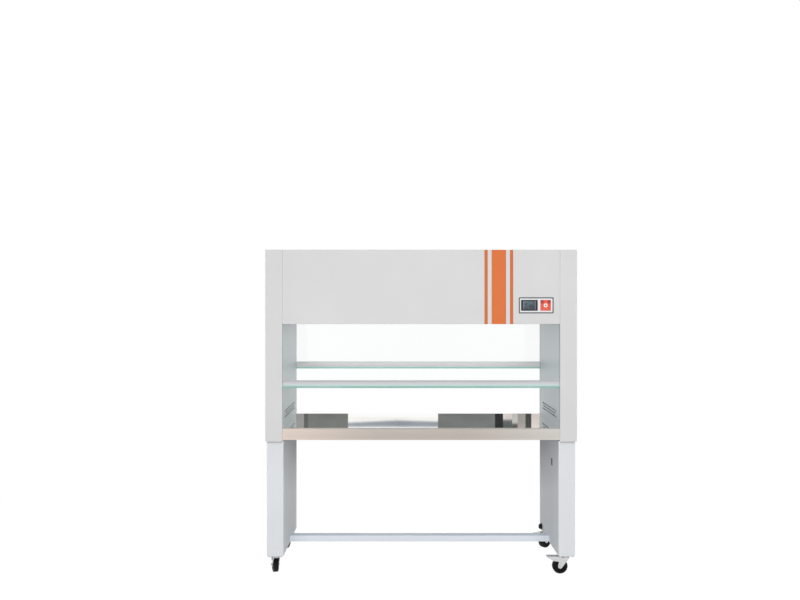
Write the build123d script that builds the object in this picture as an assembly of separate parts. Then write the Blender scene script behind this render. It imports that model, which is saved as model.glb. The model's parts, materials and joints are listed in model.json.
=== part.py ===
from build123d import *
import math
import os

# A two person, double sided laminar flow bench on a castered stand, in millimetres.
# X runs to the right, Y to the back and Z up. The origin is on the floor, under the middle.

# Overall frame
overall_width = 1530.0
overall_depth = 695.0
caster_height = 96.0
stand_height = 568.0
hood_body_height = 941.0
column_width = 84.0
panel_height = 365.0
worktop_rise = 65.0
steel_sheet = 1.5
seam = 0.5

# Column shells and side liners
corner_radius = 6.0
fold_radius = 2.5
jamb_return = 10.0
liner_flange = 14.0
liner_fold_radius = 3.0
ledge_reach = 20.0
ledge_height = 25.0

# Return air slots in the liners
slot_length = 45.0
slot_height = 5.0
slot_pitch = 68.0
slot_columns = 7
slot_row_rise = 15.0
slot_rows = 3
lowest_slot_above_worktop = 43.0

# Front and rear panels
panel_recess = 3.0
panel_return = 8.0

# Sashes and the channels that they run in
glass_thickness = 5.0
glass_height = 540.0
glass_edge_engagement = 8.0
glass_side_clearance = 0.3
glass_edge_chamfer = 0.5
channel_width = 14.0
channel_depth = 12.0
channel_base = 2.0
channel_start_above_column = 12.0
channel_fit = 0.2
channel_edge_chamfer = 0.8
front_sash_open = 196.0
rear_sash_open = 252.0
strip_height = 30.0
strip_above_glass_edge = 9.0
strip_reach = 12.0
strip_cove_reach = 3.5
strip_lip = 2.0
strip_side_gap = 1.5

# Worktop and its bearers
worktop_sheet = 1.5
apron_height = 58.0
bullnose_radius = 12.0
apron_return = 16.0
worktop_setback = 4.5
bearer_height = 44.0
bearer_width = 40.0
bearer_sheet = 2.0
bearer_fold_radius = 3.0
bearer_spacing = 380.0

# Hood interior, from the recess under the diffuser to the top cover
lamp_recess = 60.0
recess_lip = 3.0
diffuser_gap_to_channel = 4.5
diffuser_end_margin = 50.0
diffuser_side_margin = 60.0
diffuser_slot_length = 62.0
diffuser_slot_width = 12.0
diffuser_column_pitch = 84.0
diffuser_row_pitch = 84.0
filter_height = 69.0
filter_frame = 14.0
filter_side_gap = 13.0
filter_end_gap = 12.0
pleat_pitch = 24.0
pleat_margin = 6.0
pleat_thickness = 5.0
deck_height = 36.0
cover_rim = 25.0
prefilter_end_gap = 191.0
prefilter_width = 330.0
prefilter_thickness = 10.0
intake_slot_length = 90.0
intake_slot_width = 8.0
intake_columns = 3
intake_rows = 7
intake_column_pitch = 110.0
intake_row_pitch = 30.0

# Blowers
blower_from_liner = 351.0
blower_width = 190.0
blower_axis_above_deck = 95.0
scroll_end_radius = 92.0
scroll_start_radius = 67.0
scroll_sweep = 300
scroll_step = 30
scroll_sheet = 1.5
inlet_radius = 48.0
inlet_lip = 5.0
impeller_radius = 60.0
impeller_length = 170.0
blade_count = 28
blade_inner_radius = 49.0
blade_sheet_angle = 2.0
blade_lead_angle = 9.0
blade_belly_angle = 2.5
rim_length = 4.0
blade_weld = 1.0
backplate_thickness = 2.0
hub_radius = 12.0
hub_length = 30.0
shaft_radius = 5.0
shaft_clearance = 0.05
motor_radius = 42.0
motor_length = 90.0
motor_gap = 12.0
motor_shaft_bore = 70.0
shaft_end_gap = 1.0
motor_end_chamfer = 7.0
motor_foot_width = 60.0
motor_foot_gauge = 4.0

# Lamps under the diffuser
tube_radius = 13.0
tube_end_gap = 81.0
tube_cap_length = 16.0
tube_cap_radius = 13.4
tube_inset = 50.0
tube_drop = 28.0
holder_thickness = 16.0
holder_width = 30.0
holder_round = 10.0
holder_below_tube = 16.0
socket_depth = 4.0
socket_clearance = 0.4

# Control unit on the front panel
plate_from_column = 28.0
plate_top_drop = 231.2
plate_width = 177.5
plate_height = 83.6
plate_thickness = 1.2
plate_corner = 3.0
display_inset = 14.6
display_width = 81.4
display_height = 53.2
keypad_inset_right = 17.2
keypad_width = 51.0
keypad_height = 52.6
window_clearance = 0.2
tray_margin = 4.0
tray_back_from_panel = 9.0
tray_floor = 1.5
display_recess = 0.2
keypad_proud = 0.4
key_proud = 1.0
key_clearance = 0.3
key_flange = 0.8
key_flange_thickness = 1.0
keypad_thickness = 6.0
centre_key_radius = 11.0
centre_dot_radius = 3.6
centre_dot_depth = 0.4
corner_key_size = 14.0
corner_key_offset = 17.4
corner_key_round = 1.5

# Legs and foot rail
leg_width = 83.0
leg_outer_inset = 4.0
leg_setback = 28.0
leg_corner_radius = 5.0
rail_height = 32.0
rail_depth = 60.0
rail_lift = 3.0
rail_corner_radius = 3.0

# Power switch on the right leg
switch_from_front = 234.0
switch_above_leg_foot = 433.0
bezel_height = 36.0
bezel_width = 25.0
bezel_thickness = 2.5
bezel_corner = 2.0
switch_body_height = 30.0
switch_body_width = 20.0
switch_body_depth = 22.0
switch_back_wall = 3.0
switch_cutout_clearance = 0.3
rocker_height = 24.0
rocker_width = 15.2
rocker_clearance = 0.7
rocker_end_proud = 1.5
rocker_dish = 3.0
rocker_pivot_depth = 4.5
rocker_back_depth = 8.0
rocker_back_height = 8.0
rocker_tilt = 7.0
rocker_pin_radius = 1.5
rocker_pin_reach = 1.3
rocker_pin_end_gap = 0.2

# Cable gland low on the inner face of the right leg, towards the back
gland_from_middle = 235.0
gland_above_leg_foot = 24.0
gland_radius = 16.0
gland_flange = 5.0
gland_reach = 18.0
gland_thread_radius = 10.0
gland_thread_length = 8.0
gland_bore_radius = 5.0
gland_lip = 4.0
gland_nut_step = 1.5
gland_nut_length = 8.0
gland_clearance = 0.1

# Swivel casters with brakes, in a local frame: the swivel axis is at x = 0, the wheel trails to +x
caster_from_hood_face = 75.0
caster_trail = 28.0
wheel_radius = 37.5
wheel_width = 25.0
tread_chamfer = 2.5
tread_side_height = 9.5
web_recess = 4.0
web_slope = 2.0
wheel_hub_radius = 12.0
wheel_hub_proud = 1.0
wheel_hub_slope = 1.5
axle_radius = 4.0
running_clearance = 0.05
plate_length = 92.0
plate_breadth = 76.0
plate_gauge = 2.5
plate_round = 6.0
bolt_spacing_x = 58.0
bolt_spacing_y = 74.0
race_radius = 22.0
race_height = 10.5
race_chamfer = 4.0
kingpin_radius = 6.0
kingpin_head_radius = 9.5
kingpin_head = 3.0
face_gap = 0.3
fork_gauge = 2.5
fork_edge_round = 2.0
fork_gap = 2.0
fork_lead = 18.0
fork_tail = 30.0
fork_end_radius = 11.0
axle_head_radius = 6.5
axle_head = 4.0
pedal_gauge = 2.0
pedal_inner_gap = 1.2
pedal_pivot_x = 18.0
pedal_pivot_z = 67.0
pedal_pivot_radius = 3.0
pedal_boss_radius = 8.0
pedal_top_z = 87.0
pedal_start_x = 25.0
pedal_reach = 95.0
pedal_tip_depth = 4.0
pedal_knee_x = 59.0
pedal_knee_z = 64.0
brake_shoe_x = 45.0
brake_shoe_gauge = 3.0
brake_shoe_gap = 4.5
brake_shoe_inset = 1.0
bolt_head_radius = 6.5
bolt_head = 4.0
bolt_radius = 4.0
bolt_length = 16.0
bolt_hole_clearance = 0.2
cut_overrun = 1.0
clear_reach = 200.0
caster_headings = {
    "front_left": 106.0,
    "front_right": 180.0,
    "rear_left": 256.0,
    "rear_right": 214.0,
}

# Places worked out from the sizes above
half_width = overall_width / 2
half_depth = overall_depth / 2
chamber_half = half_width - column_width
column_bottom = caster_height + stand_height
overall_height = column_bottom + hood_body_height
worktop_top = column_bottom + worktop_rise
panel_bottom = overall_height - panel_height
panel_face = half_depth - panel_recess
channel_outer = half_depth - jamb_return - channel_fit
channel_inner = channel_outer - channel_width
sash_plane = (channel_outer + channel_inner) / 2
liner_half = channel_inner - channel_fit
leg_outer = half_width - leg_outer_inset
leg_inner = leg_outer - leg_width
leg_half_depth = half_depth - leg_setback
leg_middle = (leg_outer + leg_inner) / 2
diffuser_half = liner_half - diffuser_gap_to_channel
diffuser_top = panel_bottom + lamp_recess
filter_top = diffuser_top + filter_height
deck_top = filter_top + deck_height
cover_underside = overall_height - steel_sheet
blower_axis_z = deck_top + blower_axis_above_deck
diffuser_columns = int((2 * chamber_half - 2 * diffuser_end_margin) / diffuser_column_pitch)
diffuser_rows = int((2 * diffuser_half - 2 * diffuser_side_margin) / diffuser_row_pitch)
blower_spacing = 2 * (chamber_half - blower_from_liner)
prefilter_length = 2 * (chamber_half - prefilter_end_gap)
tube_length = 2 * (chamber_half - tube_end_gap)
tube_y = diffuser_half - tube_inset
tube_z = diffuser_top - tube_drop
plate_left = chamber_half - plate_from_column - plate_width
plate_middle_x = plate_left + plate_width / 2
plate_middle_z = overall_height - plate_top_drop - plate_height / 2
display_x = plate_left + display_inset + display_width / 2
keypad_x = plate_left + plate_width - keypad_inset_right - keypad_width / 2
switch_y = switch_from_front - half_depth
switch_z = caster_height + switch_above_leg_foot
gland_z = caster_height + gland_above_leg_foot
rocker_pivot_x = leg_inner + rocker_pivot_depth - bezel_thickness
caster_y = half_depth - caster_from_hood_face
crown_top = caster_height - plate_gauge - race_height - face_gap
fork_half = wheel_width / 2 + fork_gap


def block(x0, x1, y0, y1, z0, z1):
    """A rectangular solid between two corners."""
    middle = Pos((x0 + x1) / 2, (y0 + y1) / 2, (z0 + z1) / 2)
    return middle * Box(x1 - x0, y1 - y0, z1 - z0)


def folded_section(points, radii, gauge):
    """The section of a folded sheet: its outer line is given, the metal lies to the right of it."""
    line = FilletPolyline(*points, radius=radii)
    outline = offset(line, amount=gauge, side=Side.RIGHT, closed=True)
    return make_face(outline.edges())


def along_x(section, half_length):
    """Run a section drawn in Y and Z out along X, the same length each way."""
    return extrude(Plane.YZ.offset(-half_length) * section, 2 * half_length)


def square_tube(width, height, gauge, radius):
    """The section of a rectangular tube, as a flat ring."""
    outside = RectangleRounded(width, height, radius)
    inside = RectangleRounded(width - 2 * gauge, height - 2 * gauge, radius - gauge)
    return outside - inside


def to_right(part):
    """The right hand copy of a piece that was drawn on the left."""
    return mirror(part, about=Plane.YZ)


def to_back(part):
    """The rear copy of a piece that was drawn at the front."""
    return mirror(part, about=Plane.XZ)


def column_shell():
    """Left column cover: one sheet folded round front, outer side and back, with end plates."""
    points = [
        (-chamber_half, -half_depth + jamb_return),
        (-chamber_half, -half_depth),
        (-half_width, -half_depth),
        (-half_width, half_depth),
        (-chamber_half, half_depth),
        (-chamber_half, half_depth - jamb_return),
    ]
    radii = [fold_radius, corner_radius, corner_radius, fold_radius]
    wall = extrude(folded_section(points, radii, steel_sheet), hood_body_height)
    outline = FilletPolyline(*points, radius=radii)
    end_face = make_face([*outline.edges(), Line(points[-1], points[0])])
    end_plate = extrude(end_face, steel_sheet)
    top_plate = Pos(0, 0, hood_body_height - steel_sheet) * end_plate
    return Pos(0, 0, column_bottom) * (wall + [end_plate, top_plate])


def return_air_slots():
    """Three staggered rows of slots, as solids that cut through a liner."""
    slots = []
    for row in range(slot_rows):
        shift = slot_pitch / 2 if row % 2 else 0.0
        columns = slot_columns - 1 if row % 2 else slot_columns
        height = worktop_top + lowest_slot_above_worktop + row * slot_row_rise
        for column in range(columns):
            along = (column - (slot_columns - 1) / 2) * slot_pitch + shift
            place = Plane.YZ.offset(-chamber_half - 2 * steel_sheet) * Pos(along, height)
            slots.append(extrude(place * SlotOverall(slot_length, slot_height), 4 * steel_sheet))
    return slots


def side_liner():
    """Left inner wall of the chamber, with its slots and the ledge that carries the diffuser."""
    points = [
        (-chamber_half - liner_flange, liner_half),
        (-chamber_half, liner_half),
        (-chamber_half, -liner_half),
        (-chamber_half - liner_flange, -liner_half),
    ]
    height = hood_body_height - 2 * steel_sheet - 2 * seam
    wall = extrude(folded_section(points, liner_fold_radius, steel_sheet), height)
    wall = Pos(0, 0, column_bottom + steel_sheet + seam) * wall
    ledge_top = diffuser_top - steel_sheet
    ledge_points = [
        (-chamber_half, ledge_top - ledge_height),
        (-chamber_half, ledge_top),
        (-chamber_half + ledge_reach, ledge_top),
    ]
    ledge_section = folded_section(ledge_points, fold_radius, steel_sheet)
    ledge_half = diffuser_half - 2 * steel_sheet - liner_fold_radius
    ledge = extrude(Plane.XZ.offset(-ledge_half) * ledge_section, 2 * ledge_half)
    return wall - return_air_slots() + ledge


def hood_panel():
    """Front panel: a plain sheet with its lower edge turned in."""
    points = [
        (-panel_face, overall_height),
        (-panel_face, panel_bottom),
        (-panel_face + panel_return, panel_bottom),
    ]
    section = folded_section(points[::-1], fold_radius, steel_sheet)
    return along_x(section, chamber_half - seam)


def control_tray_block(grow):
    """The space of the control unit's tray behind the panel, grown all round by a clearance."""
    half_x = plate_width / 2 - tray_margin + grow
    half_z = plate_height / 2 - tray_margin + grow
    return block(
        plate_middle_x - half_x,
        plate_middle_x + half_x,
        -panel_face - grow,
        -panel_face + tray_back_from_panel,
        plate_middle_z - half_z,
        plate_middle_z + half_z,
    )


def front_panel():
    """The hood panel with the opening that the control unit sits in."""
    return hood_panel() - control_tray_block(seam)


def intake_field(middle):
    """The slots of one intake grille in the top cover."""
    field = []
    for column in range(intake_columns):
        for row in range(intake_rows):
            x = middle + (column - (intake_columns - 1) / 2) * intake_column_pitch
            y = (row - (intake_rows - 1) / 2) * intake_row_pitch
            slot = Box(intake_slot_length, intake_slot_width, 4 * steel_sheet)
            field.append(Pos(x, y, cover_underside) * slot)
    return field


def top_cover():
    """The lid between the columns: a sheet with two skirts and two intake grilles."""
    edge = panel_face - steel_sheet - seam
    points = [
        (-edge, overall_height - cover_rim),
        (-edge, overall_height),
        (edge, overall_height),
        (edge, overall_height - cover_rim),
    ]
    lid = along_x(folded_section(points, fold_radius, steel_sheet), chamber_half - seam)
    return lid - intake_field(-blower_spacing / 2) - intake_field(blower_spacing / 2)


def prefilter_pad():
    """The flat pad that hangs under the intake grilles."""
    pad = Box(prefilter_length, prefilter_width, prefilter_thickness)
    pad = fillet(pad.edges().filter_by(Axis.Z), prefilter_thickness)
    return Pos(0, 0, cover_underside - prefilter_thickness / 2) * pad


def fan_deck():
    """The tray that closes the plenum over the filter, with an outlet under each blower."""
    half_x = chamber_half - filter_end_gap
    half_y = diffuser_half - filter_side_gap
    body = block(-half_x, half_x, -half_y, half_y, filter_top, deck_top)
    underside = body.faces().sort_by(Axis.Z)[0]
    tray = offset(body, amount=-steel_sheet, openings=underside)
    left, right, near, far = outlet_window()
    for side in (-1, 1):
        middle = side * blower_spacing / 2
        low = deck_top - 2 * steel_sheet
        tray -= block(middle + left, middle + right, near, far, low, deck_top + cut_overrun)
    return tray


def scroll_point(angle, inset):
    """A point on the scroll's outside, or inset from it, in Y and Z about the blower's axis."""
    share = angle / scroll_sweep
    radius = scroll_end_radius - (scroll_end_radius - scroll_start_radius) * share - inset
    turn = math.radians(angle)
    return (radius * math.cos(turn), radius * math.sin(turn))


def outlet_window():
    """The clear opening at the foot of the scroll: X from and to, then Y from and to."""
    tongue = scroll_point(scroll_sweep, 0.0)[0]
    half_x = blower_width / 2 - scroll_sheet
    return (-half_x, half_x, tongue + scroll_sheet, scroll_end_radius - scroll_sheet)


def scroll_outline(inset, floor):
    """The spiral with its straight duct down to the floor, or the same shape inset from it."""
    points = [scroll_point(angle, inset) for angle in range(0, scroll_sweep + 1, scroll_step)]
    spiral = make_face([*Spline(*points).edges(), Line(points[-1], points[0])])
    near = scroll_point(scroll_sweep, 0.0)[0] + inset
    far = scroll_end_radius - inset
    duct = Pos((near + far) / 2, floor / 2) * Rectangle(far - near, -floor)
    return spiral + duct


def blower_housing(middle):
    """A spiral casing with an inlet in each side and its mouth on the fan deck."""
    floor = -blower_axis_above_deck
    casing = along_x(scroll_outline(0.0, floor), blower_width / 2)
    inner_outline = scroll_outline(scroll_sheet, floor - cut_overrun)
    hollow = along_x(inner_outline, blower_width / 2 - scroll_sheet)
    inlets = along_x(Circle(inlet_radius), blower_width)
    lip_ring = Circle(inlet_radius + inlet_lip) - Circle(inlet_radius)
    lips = along_x(lip_ring, blower_width / 2) - along_x(lip_ring, blower_width / 2 - inlet_lip)
    shell = casing - hollow - inlets + lips
    return Pos(middle, 0, blower_axis_z) * shell


def blade_section():
    """The section of one forward curved blade, in Y and Z about the wheel's axis."""
    tip_radius = impeller_radius - blade_weld
    belly_radius = (blade_inner_radius + tip_radius) / 2
    stations = [
        (blade_inner_radius, 0.0),
        (belly_radius, blade_belly_angle),
        (tip_radius, blade_lead_angle),
    ]
    near = []
    far = []
    for radius, degrees in stations:
        for side, angle in ((near, degrees), (far, degrees + blade_sheet_angle)):
            turn = math.radians(angle)
            side.append((radius * math.cos(turn), radius * math.sin(turn)))
    tip = Line(near[-1], far[-1])
    root = Line(far[0], near[0])
    return make_face([ThreePointArc(*near), tip, ThreePointArc(*far[::-1]), root])


def impeller(middle, motor_side):
    """A squirrel cage wheel on its shaft, which reaches into the motor."""
    blade = along_x(blade_section(), (impeller_length - rim_length) / 2)
    rim_ring = Circle(impeller_radius) - Circle(blade_inner_radius - blade_weld)
    rim = extrude(Plane.YZ * rim_ring, rim_length)
    backplate = along_x(Circle(blade_inner_radius + blade_weld), backplate_thickness / 2)
    hub = along_x(Circle(hub_radius), hub_length / 2)
    shaft_end = blower_width / 2 + motor_gap + motor_shaft_bore - shaft_end_gap
    shaft = extrude(Plane.YZ * Circle(shaft_radius), motor_side * shaft_end)
    wheel = Pos(-impeller_length / 2, 0, 0) * rim
    wheel += Pos(impeller_length / 2 - rim_length, 0, 0) * rim
    for index in range(blade_count):
        wheel += Rot(360 * index / blade_count, 0, 0) * blade
    wheel = wheel + backplate + hub + shaft
    return Pos(middle, 0, blower_axis_z) * wheel


def fan_motor(middle, motor_side):
    """A round motor on a foot, bored for the impeller's shaft."""
    start = blower_width / 2 + motor_gap
    can = Cylinder(motor_radius, motor_length)
    can = chamfer(can.edges().filter_by(GeomType.CIRCLE), motor_end_chamfer)
    can = Rot(0, 90, 0) * can
    floor = -blower_axis_above_deck
    half = motor_foot_width / 2
    sole = block(-half, half, -half, half, floor, floor + motor_foot_gauge)
    web = block(-motor_foot_gauge, motor_foot_gauge, -half, half, floor, 0)
    motor = Pos(motor_side * (start + motor_length / 2), 0, 0) * (can + [sole, web])
    bore_length = motor_side * (start + motor_shaft_bore)
    bore = extrude(Plane.YZ * Circle(shaft_radius + shaft_clearance), bore_length)
    return Pos(middle, 0, blower_axis_z) * (motor - bore)


def filter_cartridge():
    """The filter: a pleated pack bonded in a rectangular frame."""
    half_x = chamber_half - filter_end_gap
    half_y = diffuser_half - filter_side_gap
    frame = block(-half_x, half_x, -half_y, half_y, diffuser_top, filter_top)
    inner_x = half_x - filter_frame
    inner_y = half_y - filter_frame
    low = diffuser_top - cut_overrun
    frame -= block(-inner_x, inner_x, -inner_y, inner_y, low, filter_top + cut_overrun)
    folds = int(2 * inner_x / (pleat_pitch / 2))
    step = 2 * inner_x / folds
    low = diffuser_top + pleat_margin
    high = filter_top - pleat_margin - pleat_thickness
    lower = [(-inner_x + index * step, high if index % 2 else low) for index in range(folds + 1)]
    upper = [(x, z + pleat_thickness) for x, z in lower]
    section = make_face(Polyline(*lower, *upper[::-1], close=True))
    pack = extrude(Plane.XZ.offset(-inner_y) * section, 2 * inner_y)
    return frame + pack


def diffuser_tray():
    """The slotted tray below the filter, with a skirt that hides the lamps."""
    points = [
        (-diffuser_half, panel_bottom + recess_lip),
        (-diffuser_half, diffuser_top),
        (diffuser_half, diffuser_top),
        (diffuser_half, panel_bottom + recess_lip),
    ]
    tray = along_x(folded_section(points, liner_fold_radius, steel_sheet), chamber_half - seam)
    slots = []
    for column in range(diffuser_columns):
        for row in range(diffuser_rows):
            x = (column - (diffuser_columns - 1) / 2) * diffuser_column_pitch
            y = (row - (diffuser_rows - 1) / 2) * diffuser_row_pitch
            slot = Box(diffuser_slot_length, diffuser_slot_width, 4 * steel_sheet)
            slots.append(Pos(x, y, diffuser_top) * slot)
    return tray - slots


def lamp_tube(y):
    """A straight glass tube with a metal cap at each end."""
    glass = along_x(Circle(tube_radius), tube_length / 2 - tube_cap_length)
    caps = along_x(Circle(tube_cap_radius), tube_length / 2) - along_x(
        Circle(tube_cap_radius), tube_length / 2 - tube_cap_length
    )
    return Pos(0, y, tube_z) * (glass + caps)


def lamp_holders():
    """Four end holders, each with a round socket, that hang from the diffuser."""
    underside = diffuser_top - steel_sheet
    foot = tube_z - holder_below_tube
    body = block(0, holder_thickness, -holder_width / 2, holder_width / 2, foot, underside)
    body = fillet(body.edges().filter_by(Axis.X).group_by(Axis.Z)[0], holder_round)
    socket = Cylinder(tube_cap_radius + socket_clearance, 2 * (socket_depth + socket_clearance))
    body -= Pos(0, 0, tube_z) * Rot(0, 90, 0) * socket
    front_right = Pos(tube_length / 2 - socket_depth, -tube_y, 0) * body
    front = [to_right(front_right), front_right]
    return Compound(front + [to_back(one) for one in front])


def worktop():
    """Stainless worktop: rounded over at the front and back edges and turned in below."""
    edge = half_depth - worktop_setback
    apron_foot = worktop_top - apron_height
    points = [
        (-edge + apron_return, apron_foot),
        (-edge, apron_foot),
        (-edge, worktop_top),
        (edge, worktop_top),
        (edge, apron_foot),
        (edge - apron_return, apron_foot),
    ]
    radii = [fold_radius, bullnose_radius, bullnose_radius, fold_radius]
    return along_x(folded_section(points, radii, worktop_sheet), chamber_half - seam)


def worktop_bearer(y):
    """A channel under the worktop that runs from liner to liner."""
    top = worktop_top - worktop_sheet
    points = [
        (y - bearer_width / 2, top - bearer_height),
        (y - bearer_width / 2, top),
        (y + bearer_width / 2, top),
        (y + bearer_width / 2, top - bearer_height),
    ]
    section = folded_section(points, bearer_fold_radius, bearer_sheet)
    return along_x(section, chamber_half - seam)


def sash_channels():
    """Four guides with a slot for the glass edge, one in each corner of the chamber."""
    start = column_bottom + channel_start_above_column
    height = overall_height - 2 * steel_sheet - start
    half_slot = glass_thickness / 2 + glass_side_clearance
    body = block(0, channel_depth, -channel_width / 2, channel_width / 2, 0, height)
    slot_end = channel_depth - channel_base
    slot = block(-cut_overrun, slot_end, -half_slot, half_slot, -cut_overrun, height + cut_overrun)
    guide = body - slot
    guide = chamfer(guide.edges().filter_by(Axis.Z).group_by(Axis.X)[0], channel_edge_chamfer)
    front_right = Pos(chamber_half, -sash_plane, start) * guide
    front = [to_right(front_right), front_right]
    return Compound(front + [to_back(one) for one in front])


def sash_glass(open_height):
    """The front pane at its opening height, with its edges inside the channels."""
    half_x = chamber_half + glass_edge_engagement
    foot = worktop_top + open_height
    pane = block(
        -half_x,
        half_x,
        -sash_plane - glass_thickness / 2,
        -sash_plane + glass_thickness / 2,
        foot,
        foot + glass_height,
    )
    return chamfer(pane.edges().filter_by(Axis.X), glass_edge_chamfer)


def sash_strip(open_height):
    """The pull strip on the front pane: a shallow cove between two lips, along the whole width."""
    face = -sash_plane - glass_thickness / 2
    foot = worktop_top + open_height + strip_above_glass_edge
    crown = foot + strip_height
    lower_lip = (face - strip_reach + strip_lip, foot + strip_lip)
    upper_lip = (face - strip_reach, crown - strip_lip)
    cove = (face - strip_cove_reach, foot + strip_height / 2)
    section = make_face(
        [
            Line((face, foot), (lower_lip[0], foot)),
            Line((lower_lip[0], foot), lower_lip),
            ThreePointArc(lower_lip, cove, upper_lip),
            Line(upper_lip, (upper_lip[0], crown)),
            Line((upper_lip[0], crown), (face, crown)),
            Line((face, crown), (face, foot)),
        ]
    )
    return along_x(section, chamber_half - strip_side_gap)


def window_block(x, width, height, grow, front, back):
    """A straight sided block behind one of the control unit's windows."""
    half_x = width / 2 + grow
    low = plate_middle_z - height / 2 - grow
    high = plate_middle_z + height / 2 + grow
    return block(x - half_x, x + half_x, front, back, low, high)


def control_plate():
    """The bezel on the panel and the tray behind it, with a pocket for display and keypad."""
    outline = RectangleRounded(plate_width, plate_height, plate_corner)
    plate = Plane.XZ.offset(panel_face) * Pos(plate_middle_x, plate_middle_z)
    unit = extrude(plate * outline, plate_thickness) + control_tray_block(0.0)
    front = -panel_face - plate_thickness - cut_overrun
    back = -panel_face + tray_back_from_panel - tray_floor
    grow = window_clearance
    unit -= window_block(display_x, display_width, display_height, grow, front, back)
    unit -= window_block(keypad_x, keypad_width, keypad_height, grow, front, back)
    return unit


def display_window():
    """The dark display in the left window of the control unit."""
    front = -panel_face - plate_thickness + display_recess
    back = -panel_face + tray_back_from_panel - tray_floor
    return window_block(display_x, display_width, display_height, 0.0, front, back)


def key_places():
    """The four corner keys' names and centres about the keypad's centre."""
    places = {}
    for row, up in (("upper", 1), ("lower", -1)):
        for side, right in (("left", -1), ("right", 1)):
            x = keypad_x + right * corner_key_offset
            z = plate_middle_z + up * corner_key_offset
            places["key_" + row + "_" + side] = (x, z)
    return places


def key_outline(name, grow):
    """The outline of a key, grown all round by a clearance."""
    if name == "centre_key":
        return Circle(centre_key_radius + grow)
    side = corner_key_size + 2 * grow
    return RectangleRounded(side, side, corner_key_round)


def all_keys():
    """Every key's name and centre."""
    return {"centre_key": (keypad_x, plate_middle_z), **key_places()}


keypad_front = panel_face + plate_thickness + keypad_proud
keypad_back = keypad_front - keypad_thickness


def keypad():
    """The keypad block, with a through hole for each key."""
    pad = window_block(keypad_x, keypad_width, keypad_height, 0.0, -keypad_front, -keypad_back)
    for name, (x, z) in all_keys().items():
        start = Plane.XZ.offset(keypad_back - cut_overrun) * Pos(x, z)
        hole = start * key_outline(name, key_clearance)
        pad -= extrude(hole, keypad_thickness + 2 * cut_overrun)
    return pad


def key(name, x, z):
    """A key: a button with a wider flange behind the keypad that keeps it in."""
    flange_front = keypad_back - key_clearance
    flange_back = flange_front - key_flange_thickness
    face = keypad_front + key_proud
    back = Plane.XZ.offset(flange_back) * Pos(x, z)
    stem = extrude(back * key_outline(name, 0.0), face - flange_back)
    flange = extrude(back * key_outline(name, key_flange), key_flange_thickness)
    button = stem + flange
    if name == "centre_key":
        dot = Plane.XZ.offset(face - centre_dot_depth) * Pos(x, z) * Circle(centre_dot_radius)
        button -= extrude(dot, centre_dot_depth + cut_overrun)
    return button


def leg():
    """Left leg: a closed folded box with a plate at its top and foot."""
    middle = Pos(-leg_middle, 0)
    tube = middle * square_tube(leg_width, 2 * leg_half_depth, steel_sheet, leg_corner_radius)
    plug = middle * RectangleRounded(leg_width, 2 * leg_half_depth, leg_corner_radius)
    walls = extrude(tube, stand_height)
    foot_plate = extrude(plug, steel_sheet)
    top_plate = Pos(0, 0, stand_height - steel_sheet) * foot_plate
    box = Pos(0, 0, caster_height) * (walls + [foot_plate, top_plate])
    holes = []
    for y in (-caster_y, caster_y):
        for x, along in bolt_places():
            shank = Cylinder(bolt_radius + bolt_hole_clearance, 6 * steel_sheet)
            holes.append(Pos(-leg_middle + x, y + along, caster_height) * shank)
    return box - holes


def right_leg():
    """The right leg, with openings for the power switch and the cable gland."""
    half_y = switch_body_width / 2 + switch_cutout_clearance
    half_z = switch_body_height / 2 + switch_cutout_clearance
    opening = block(
        leg_inner - cut_overrun,
        leg_inner + steel_sheet + cut_overrun,
        switch_y - half_y,
        switch_y + half_y,
        switch_z - half_z,
        switch_z + half_z,
    )
    hole = Rot(0, 90, 0) * Cylinder(gland_thread_radius + gland_clearance, 6 * steel_sheet)
    return to_right(leg()) - opening - Pos(leg_inner, gland_from_middle, gland_z) * hole


def foot_rail():
    """The rectangular tube, closed at its ends, that ties the legs together near the floor."""
    tube = square_tube(rail_depth, rail_height, steel_sheet, rail_corner_radius)
    plug = RectangleRounded(rail_depth, rail_height, rail_corner_radius)
    ends = along_x(plug, leg_inner) - along_x(plug, leg_inner - steel_sheet)
    middle = Pos(0, 0, caster_height + rail_lift + rail_height / 2)
    return middle * (along_x(tube, leg_inner) + ends)


def switch_bezel():
    """The power switch's flange and body, with a pocket and pin holes for the rocker."""
    face = Plane.YZ.offset(leg_inner) * Pos(switch_y, switch_z)
    flange_outline = RectangleRounded(bezel_width, bezel_height, bezel_corner)
    flange = extrude(face * flange_outline, -bezel_thickness)
    body = extrude(face * Rectangle(switch_body_width, switch_body_height), switch_body_depth)
    pocket_width = rocker_width + 2 * rocker_clearance
    pocket_height = rocker_height + 2 * rocker_clearance
    front = Plane.YZ.offset(leg_inner - bezel_thickness) * Pos(switch_y, switch_z)
    pocket_depth = bezel_thickness + switch_body_depth - switch_back_wall
    pocket = extrude(front * Rectangle(pocket_width, pocket_height), pocket_depth)
    pin_hole = Cylinder(rocker_pin_radius + running_clearance, pocket_width + 2 * rocker_pin_reach)
    pin_hole = Pos(rocker_pivot_x, switch_y, switch_z) * Rot(90, 0, 0) * pin_hole
    return flange + body - pocket - pin_hole


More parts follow.
